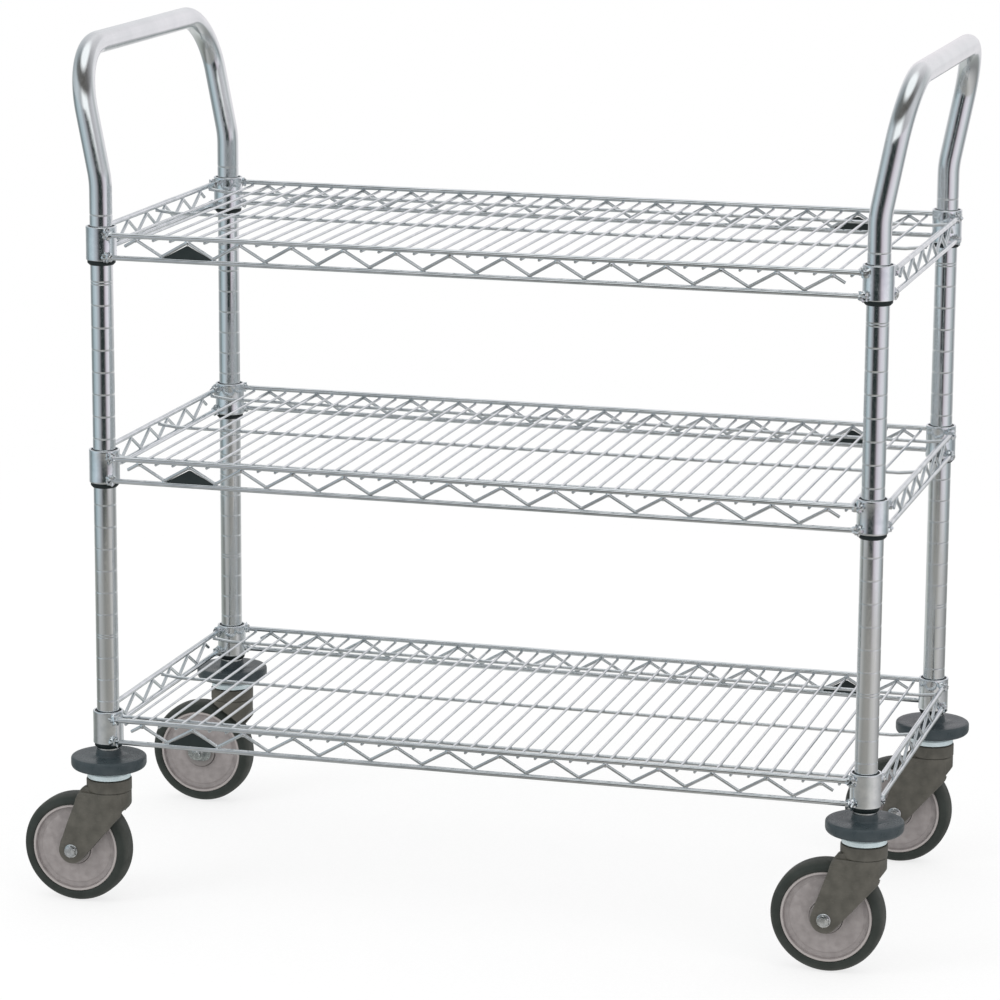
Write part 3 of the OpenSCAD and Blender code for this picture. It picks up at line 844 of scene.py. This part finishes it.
def outline_span(outline, z):
    """Least and greatest X of a closed outline at a height."""
    xs = []
    for (x0, z0), (x1, z1) in zip(outline, outline[1:] + outline[:1]):
        if z0 != z1 and min(z0, z1) <= z <= max(z0, z1):
            xs.append(x0 + (x1 - x0) * (z - z0) / (z1 - z0))
    return min(xs), max(xs)


def arm_front(x, z):
    """How far the arm's face stands out at a point: round like the head at the top, flat lower down."""
    round_z, flat_z = 124.0, 90.0
    face = ARM_OUT - 0.1
    flat = min(max((round_z - z) / (round_z - flat_z), 0.0), 1.0)
    flat = flat * flat * (3 - 2 * flat)
    if x < 0:
        return face - 4.5 * (1 - flat) * min(-x / 35, 1) ** 2
    bow = math.sqrt(max(face**2 - x * x, 0))
    return max((1 - flat) * bow + flat * face, ARM_IN + 0.3)


def rough_arm():
    """The arm as a stack of level slices between its flat inner face and its bowed outer face."""
    outline = arm_outline()
    levels, across = 64, 26
    low, high = min(z for _, z in outline) + 0.02, NECK_TOP_Z - 0.01
    rings = []
    for i in range(levels + 1):
        z = low + (high - low) * (1 - math.cos(math.pi * i / levels)) / 2
        left, right = outline_span(outline, z)
        xs = [left + (right - left) * k / across for k in range(across + 1)]
        rings.append([(x, -arm_front(x, z), z) for x in xs] + [(x, -ARM_IN, z) for x in reversed(xs)])
    return rings


def rough_neck():
    """The neck as a tube whose lower end slants down to the left, but stays clear of the wheel."""
    room = WHEEL_R + WHEEL_ROOM
    outer, middle, bore = HEAD_R - 0.4, 18.0, KINGPIN_HEAD_BORE_R
    rings = []
    for r, on_top in ((bore, True), (outer, True), (outer, False), (middle, False), (bore, False)):
        ring = []
        for x, y in circle(r, 96):
            cut = AXLE_Z + math.sqrt(max(room**2 - (x + TRAIL) ** 2, 0))
            flank = 120.0 + 1.3 * (x - HEAD_R)
            below = min(max(flank, cut), PARTING_Z - 2.0)
            ring.append((x, y, NECK_TOP_Z if on_top else below))
        rings.append(ring)
    return rings


def fork_body():
    """Neck, arm and shoulder under the parting line, melted into one soft moulded body."""
    rough = Shape()
    rough.loft(rough_arm())
    rough.loft(rough_neck(), loop=True)
    top = [(-25.4, 139.2), (-14.0, 139.2)]
    shoulder = [(-34.0, 124.0), (-32.0, 130.0), (-29.0, 135.0)] + top + [(-14.0, 124.0)]
    over_wheel = [(-30.0, 131.5), (-28.4, 135.0)] + top + [(-14.0, 131.5)]
    for outline, ends in ((shoulder, (-19.6, -16.6)), (over_wheel, (-17.6, -9.0))):
        rough.loft([[(x, y, z) for x, z in outline] for y in ends])
    mesh = clean_mesh("fork_rough", rough.verts, rough.faces)
    obj = new_object("fork_rough", mesh)
    melt = obj.modifiers.new("melt", "REMESH")
    melt.mode = "VOXEL"
    melt.voxel_size = 0.9 * MM
    soften = obj.modifiers.new("soften", "SMOOTH")
    soften.factor = 0.6
    soften.iterations = 5
    bpy.context.view_layer.update()
    done = obj.evaluated_get(bpy.context.evaluated_depsgraph_get()).to_mesh()
    body = Shape()
    body.add([v.co / MM for v in done.vertices], [tuple(p.vertices) for p in done.polygons])
    bpy.data.objects.remove(obj)
    bpy.data.meshes.remove(mesh)
    return body


def fork(body):
    """The melted body with the round swivel head on it, split from it by a real parting line."""
    shape = Shape()
    shape.merge(body)
    r, low, bore = HEAD_R, HEAD_LOW_Z, KINGPIN_BORE_R
    profile = [(bore, low), (r - 0.6, low)] + arc(r - 0.5, low + 0.5, 0.5, -80, 0, 3)
    profile += arc(r - 1.2, HEAD_TOP_Z - 1.2, 1.2, 0, 90, 5)
    profile += [(21.2, HEAD_TOP_Z), (21.0, BALL_FLOOR_Z), (15.0, BALL_FLOOR_Z), (14.8, HEAD_TOP_Z)]
    profile += [(bore, HEAD_TOP_Z)]
    shape.lathe(profile, 96)
    return shape


def hex_ring(across, limit, h, bore=None):
    """A ring of points at height h on a hexagon, cut back to a round limit, or on a round bore."""
    sides = 48
    ring = []
    for k in range(sides):
        a = TAU * k / sides
        flat = across / 2 / math.cos((a + math.pi / 6) % (math.pi / 3) - math.pi / 6)
        r = bore or min(flat, limit)
        ring.append((r * math.cos(a), h, r * math.sin(a)))
    return ring


def hexagon(shape, across, low, high, bore=None):
    """A hexagon along Y whose corners are chamfered at both ends, or bored through."""
    tip, full = across * 0.49, across
    d = 0.9 if high > low else -0.9
    rings = [hex_ring(across, tip, low), hex_ring(across, full, low + d * 0.8)]
    rings += [hex_ring(across, full, high - d * 1.2), hex_ring(across, tip * 1.02, high - d * 0.25)]
    rings += [hex_ring(across, tip * 0.94, high)]
    if bore:
        rings += [hex_ring(across, full, high, bore=bore), hex_ring(across, full, low, bore=bore)]
    shape.loft(rings, loop=bool(bore))


def axle_bolt():
    """Flanged hex bolt along Y about the axle, head outside the arm, chamfered tip past the nut."""
    shape = Shape()
    out = -ARM_OUT
    flange = [(0.5, out), (7.8, out), (8.0, out - 0.3), (7.9, out - 0.7), (7.0, out - 1.4), (0.5, out - 1.5)]
    shape.lathe(flange, 48, axis="y", loop=False)
    head = out - BOLT_HEAD_H
    hexagon(shape, BOLT_ACROSS, out - 1.0, head)
    ridge = [(3.6, head + 0.15), (4.0, head - 0.15), (4.4, head + 0.15)]
    shape.lathe(ridge, 36, axis="y")
    end = WASHER_Y + WASHER_T + NUT_H + BOLT_TIP
    shank = [(BOLT_R, out - 0.5), (BOLT_R, end - 1.0), (BOLT_R - 0.9, end)]
    shape.lathe(shank, 32, axis="y", loop=False)
    return shape


def axle_nut():
    """Oval washer and hex nut on the wheel's open side."""
    low, high = WASHER_Y, WASHER_Y + WASHER_T
    end_r, half_straight, bore = 10, 5, BOLT_R + 0.1
    turns = circle(1, 64)
    rings = []
    for y, grow in ((low, -0.3), (low + 0.3, 0.0), (high - 0.4, 0.0), (high, -0.4)):
        r = end_r + grow
        rings.append([(r * c + (half_straight if c > 0 else -half_straight), y, r * s) for c, s in turns])
    rings.extend([(bore * c, y, bore * s) for c, s in turns] for y in (high, low))
    shape = Shape()
    shape.loft(rings, loop=True)
    hexagon(shape, NUT_ACROSS, high, high + NUT_H, bore=bore)
    return shape


def wheel_core():
    """Dished core: rim ring, sloping web and hub. Faces of the hub are kind 1."""
    rim = [(CORE_R - 0.1, 12.8)] + arc(CORE_R - 0.9, 12.9, 0.7, 0, 90, 3)
    rim += arc(48.9, 12.8, 0.8, 90, 180, 3) + [(47.6, 10.2)] + arc(45.6, 10.6, 1.6, -10, -90, 3)
    web = [(43.0, 9.0), (42.3, 9.2), (41.6, 9.75), (40.8, 9.9), (32.0, 9.7), (24.0, 10.2)]
    web += arc(21.4, 12.6, 2.2, -80, -180, 4) + [(HUB_R + 0.1, 9.0)]
    half = rim + web
    shape = Shape()
    shape.lathe(half + [(r, -y) for r, y in reversed(half)], 96, axis="y")
    r, end, bore = HUB_R, HUB_HALF_W, 8.1
    hub = [(bore, -end), (r - 0.9, -end), (r, 0.9 - end), (r, end - 0.9), (r - 0.9, end), (bore, end)]
    shape.lathe(hub, 64, axis="y", kind=1)
    return shape


def tyre():
    """Solid tyre with wide round shoulders, its bore closed over the core's rim."""
    edge = 10.0
    profile = [(CORE_R, 0.0), (CORE_R, 13.6)] + arc(CORE_R + 0.9, 14.1, 0.7, 180, 90, 3)
    profile += [(53.2, 15.3)]
    profile += arc(WHEEL_R - edge, TYRE_HALF_W - edge, edge, 88, 12, 12)
    profile += [(WHEEL_R, 3.5), (WHEEL_R, 0.0)]
    mirrored = [(r, -y) for r, y in reversed(profile[1:-1])]
    shape = Shape()
    shape.lathe(profile + mirrored, 128, axis="y")
    return shape


def bush():
    """Flanged bush between hub and arm, and on to the washer."""
    bore, out, flange = 4.76, 8.0, 11.0
    end, face = BUSH_END, 15.1
    profile = [(bore, -end), (flange - 0.4, -end), (flange, 0.4 - end), (flange, -face), (out, -face)]
    profile += [(r, -y) for r, y in reversed(profile)]
    shape = Shape()
    shape.lathe(profile, 48, axis="y")
    return shape


def casters():
    """All the pieces of the four casters, each on its body. The first of a piece's looks is its slot."""
    body = fork_body()
    for corner, (sx, sy, hand) in CORNERS.items():
        foot = Matrix.Translation((MID_X + sx * HALF_X, sy * HALF_Y, 0))
        if hand < 0:
            foot = foot @ Matrix.Scale(-1, 4, (0, 1, 0))
        axle = foot @ Matrix.Translation((-TRAIL, 0, AXLE_Z))
        swivel, wheel = f"{corner}_swivel", f"{corner}_wheel"
        for part, unit, place, ride_on, node, *looks in (
            ("bumper_disc", bumper(), foot, "cart_frame", "bumper", "bumper_rubber"),
            ("race_ring", raceway(), foot, "cart_frame", "raceway", "zinc_steel"),
            ("fork_shell", fork(body), foot, swivel, "fork", "fork_plastic"),
            ("hex_bolt", axle_bolt(), axle, swivel, "axle_bolt", "bright_zinc"),
            ("hex_nut", axle_nut(), axle, swivel, "axle_nut", "bright_zinc"),
            ("core_disc", wheel_core(), axle, wheel, "wheel_core", "core_plastic", "hub_plastic"),
            ("tyre_ring", tyre(), axle, wheel, "tyre", "tyre"),
            ("flange_bush", bush(), axle, wheel, "wheel_bearing", "bush_plastic"),
        ):
            shape = Shape()
            shape.merge(unit, place)
            name = f"{corner}_{part}"
            piece(name, shape, looks, ride_on, f"{corner}_{node}", place.translation)


def shelves():
    """All the pieces of the three shelves."""
    for name, z in SHELF_TOPS.items():
        for part, shape, slot, node in (
            ("wire_mat", deck_mat(z), "chrome_wire", "deck"),
            ("edge_trusses", trusses(z), "chrome_wire", "trusses"),
            ("cast_collars", at_posts(collar(), z), "chrome_collar", "collars"),
            ("half_sleeves", at_posts(sleeve(), z), "black_plastic", "sleeves"),
            ("blank_badges", badges(z), "black_plastic", "badges"),
        ):
            piece(f"{name}_{part}", shape, [slot], "cart_frame", f"{name}_shelf_{node}")


def carried_over_nodes():
    """The CAD nodes that stay are hidden inside, but they get real finishes too."""
    for name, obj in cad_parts.items():
        if obj.hide_render:
            continue
        slot = "ball_steel" if name == "swivel_balls" else "zinc_steel"
        obj.data.materials.clear()
        obj.data.materials.append(MATS[slot])


end_frame("left", -1)
end_frame("right", 1)
shelves()
casters()
carried_over_nodes()


# ---- Stage, light and camera ----

# Colours that shiny things see round the part, as (degrees from the front, positive to the right, colour)
WHITE = (1.1, 1.12, 1.13)
DARK = (0.02, 0.03, 0.03)
BACK = (0.88, 0.85, 0.88)
DUSK = (0.40, 0.41, 0.42)
SIDES_RING = [
    (-112, (0.34, 0.37, 0.38)), (-90, (0.20, 0.24, 0.25)), (-72, (0.42, 0.51, 0.55)),
    (-48, (0.55, 0.63, 0.68)), (-24, (0.38, 0.39, 0.42)), (-9, (0.07, 0.07, 0.075)), (-2, DARK), (20, DARK),
    (30, (0.14, 0.13, 0.14)), (42, (0.60, 0.54, 0.60)), (60, (0.78, 0.75, 0.81)), (78, (0.78, 0.77, 0.81)),
    (96, (0.49, 0.54, 0.56)), (120, (0.26, 0.28, 0.29)),
]
LOW_RING = [(-180, DUSK), (-145, (0.55, 0.57, 0.57))] + SIDES_RING + [(145, (0.42, 0.44, 0.44))]
MID_RING = [(-180, BACK), (-150, (0.72, 0.72, 0.73))] + SIDES_RING + [(150, (0.76, 0.75, 0.77))]
HIGH_RING = [
    (-180, BACK), (-150, (0.80, 0.80, 0.82)), (-110, (0.42, 0.46, 0.48)), (-60, (0.58, 0.64, 0.68)),
    (-30, (0.45, 0.47, 0.49)), (-9, WHITE), (26, WHITE), (46, (0.46, 0.45, 0.47)), (90, (0.66, 0.66, 0.69)),
    (120, (0.50, 0.52, 0.53)), (150, (0.84, 0.83, 0.85)),
]
SKY_RING = [
    (-180, (0.80, 0.79, 0.81)), (-140, (0.60, 0.61, 0.63)), (-105, (0.32, 0.35, 0.37)),
    (-78, (0.17, 0.18, 0.18)), (-20, (0.13, 0.125, 0.12)), (30, (0.11, 0.105, 0.10)),
    (70, (0.15, 0.145, 0.145)), (105, (0.32, 0.32, 0.33)), (140, (0.60, 0.59, 0.61)),
]
FLOOR_RING = [
    (-180, (0.62, 0.62, 0.62)), (-140, (0.64, 0.66, 0.65)), (-112, (0.42, 0.44, 0.42)),
    (-78, (0.19, 0.20, 0.19)), (-58, (0.47, 0.47, 0.47)), (-40, (0.42, 0.42, 0.41)),
    (-12, (0.29, 0.29, 0.275)), (12, (0.33, 0.32, 0.30)), (34, (0.36, 0.35, 0.33)), (54, (0.54, 0.53, 0.51)),
    (72, (0.61, 0.59, 0.58)), (92, (0.50, 0.49, 0.49)), (124, (0.28, 0.28, 0.28)), (150, (0.36, 0.37, 0.36)),
]


def mix_shader(tree, factor, a, b):
    """Mixes shader outputs a and b by a number or an output."""
    mix = new_node(tree, "MixShader")
    if isinstance(factor, float):
        mix.inputs["Fac"].default_value = factor
    else:
        tree.links.new(factor, mix.inputs["Fac"])
    tree.links.new(a, mix.inputs[1])
    tree.links.new(b, mix.inputs[2])
    return mix.outputs["Shader"]


def stage_object(name, verts, faces, material):
    """An object of the stage, in metres."""
    mesh = bpy.data.meshes.new(name)
    mesh.from_pydata(verts, [], faces)
    mesh.materials.append(material)
    return new_object(name, mesh)


def pale_floor():
    """A white sweep: a disc that fades into the white surroundings, with only a faint shadow on it."""
    radius, level, sides = 2.9, -0.0004, 96
    fade_from, fade_to, own_light = 1.2, 2.8, 0.72
    material, tree, shader = node_material("pale floor")
    coords = new_node(tree, "TexCoord")
    grain = noise_node(tree, coords, 260, 4.0)
    tint = ramp_node(tree, grain, 0.3, 0.7, (0.86, 0.86, 0.86), (0.92, 0.92, 0.92))
    tree.links.new(tint, shader.inputs["Base Color"])
    shader.inputs["Roughness"].default_value = 0.9
    shader.inputs["Specular IOR Level"].default_value = 0.1
    glow = new_node(tree, "Emission")
    glow.inputs["Strength"].default_value = 1.03
    clear = new_node(tree, "BsdfTransparent").outputs["BSDF"]
    lit = mix_shader(tree, own_light, shader.outputs["BSDF"], glow.outputs["Emission"])
    fade = range_node(tree, length_node(tree, coords.outputs["Object"]), fade_from, fade_to)
    tree.links.new(mix_shader(tree, fade, lit, clear), tree.nodes["Material Output"].inputs["Surface"])
    ring = [(x, y, level) for x, y in circle(radius, sides)]
    obj = stage_object("floor", ring, [tuple(range(sides))], material)
    obj.visible_glossy = False


def reflected_only(name, verts, faces, levels, fade=None):
    """A glowing surface that only shiny things see.

    The first of levels is a ring of colours. Each other is (low, high, ring), and takes over from the one
    before it between those heights. Between the two heights of fade the surface clears.
    """
    material, tree, _ = node_material(name)
    coords = new_node(tree, "TexCoord").outputs["Object"]
    height = dot_node(tree, coords, (0, 0, 1))
    turn = turn_node(tree, coords)
    colour = ring_node(tree, turn, levels[0])
    for low, high, stops in levels[1:]:
        level = range_node(tree, height, low, high)
        colour = mix_node(tree, level, colour, ring_node(tree, turn, stops))
    glow = new_node(tree, "Emission")
    tree.links.new(colour, glow.inputs["Color"])
    surface = glow.outputs["Emission"]
    if fade:
        gone = range_node(tree, height, *fade)
        clear = new_node(tree, "BsdfTransparent").outputs["BSDF"]
        surface = mix_shader(tree, gone, surface, clear)
    tree.links.new(surface, tree.nodes["Material Output"].inputs["Surface"])
    obj = stage_object(name, verts, faces, material)
    obj.visible_camera = False
    obj.visible_diffuse = False
    obj.visible_shadow = False
    obj.visible_transmission = False


def reflected_surroundings():
    """The room as shiny things see it: a warm grey floor, and a wall with a dark gap low at the front."""
    radius, low, high, sides = 2.2, -0.0008, 2.3, 96
    ring = circle(radius, sides)
    reflected_only("floor_reflected", [(x, y, low) for x, y in ring], [tuple(range(sides))], [FLOOR_RING])
    verts = [(x, y, z) for z in (low, high) for x, y in ring]
    faces = [(k, (k + 1) % sides, (k + 1) % sides + sides, k + sides) for k in range(sides)]
    levels = [LOW_RING, (0.16, 0.32, MID_RING), (0.90, 1.04, HIGH_RING)]
    reflected_only("wall_reflected", verts, faces, levels, (1.75, high))


def area_light(name, location, size, power, colour):
    """A rectangular light that looks at the part's middle and that shiny things don't see."""
    data = bpy.data.lights.new(name, "AREA")
    data.shape = "RECTANGLE"
    data.size, data.size_y = size
    data.energy = power
    data.color = colour
    obj = new_object(name, data)
    obj.location = location
    obj.rotation_euler = (Vector((0, 0, 0.5)) - Vector(location)).to_track_quat("-Z", "Y").to_euler()
    obj.visible_glossy = False


def reflected_sky(tree, direction):
    """What shiny things see above the reflected wall: a ring of colour and a white ceiling."""
    up = dot_node(tree, direction, (0, 0, 1))
    height = math_node(tree, "DEGREES", math_node(tree, "ARCSINE", up))
    ring = ring_node(tree, turn_node(tree, direction), SKY_RING)
    return mix_node(tree, range_node(tree, height, 56, 70), ring, WHITE)


def studio():
    """White surroundings, but shiny things see a room with contrast."""
    world = bpy.data.worlds.new("studio")
    bpy.context.scene.world = world
    world.use_nodes = True
    tree = world.node_tree
    coords = new_node(tree, "TexCoord")
    path = new_node(tree, "LightPath")
    sky = reflected_sky(tree, coords.outputs["Generated"])
    plain = math_node(tree, "SUBTRACT", 1.0, path.outputs["Is Glossy Ray"])
    tree.links.new(mix_node(tree, plain, sky, (1.0, 1.0, 1.0)), tree.nodes["Background"].inputs["Color"])
    area_light("key", (-2.2, -2.6, 3.2), (1.6, 1.6), 30, (0.97, 0.99, 1.0))
    area_light("fill", (2.8, -1.6, 2.2), (1.4, 1.8), 12, (1.0, 0.97, 0.96))


def camera():
    """A long lens at the front, a little to the right and above."""
    azimuth, elevation, roll = (math.radians(a) for a in (15.77, 12.33, 0.35))
    level = math.cos(elevation)
    back = Vector((math.sin(azimuth) * level, -math.cos(azimuth) * level, math.sin(elevation)))
    right = Vector((math.cos(azimuth), math.sin(azimuth), 0))
    up = back.cross(right)
    c, s = math.cos(roll), math.sin(roll)
    right, up = c * right + s * up, c * up - s * right
    data = bpy.data.cameras.new("camera")
    data.lens = 148.4
    data.sensor_width = 36
    obj = new_object("camera", data)
    turn = Matrix((right, up, back)).transposed().to_4x4()
    obj.matrix_world = Matrix.Translation((1.2577, -4.4755, 1.4723)) @ turn
    bpy.context.scene.camera = obj


pale_floor()
reflected_surroundings()
studio()
camera()
bpy.context.scene.view_settings.view_transform = "Standard"
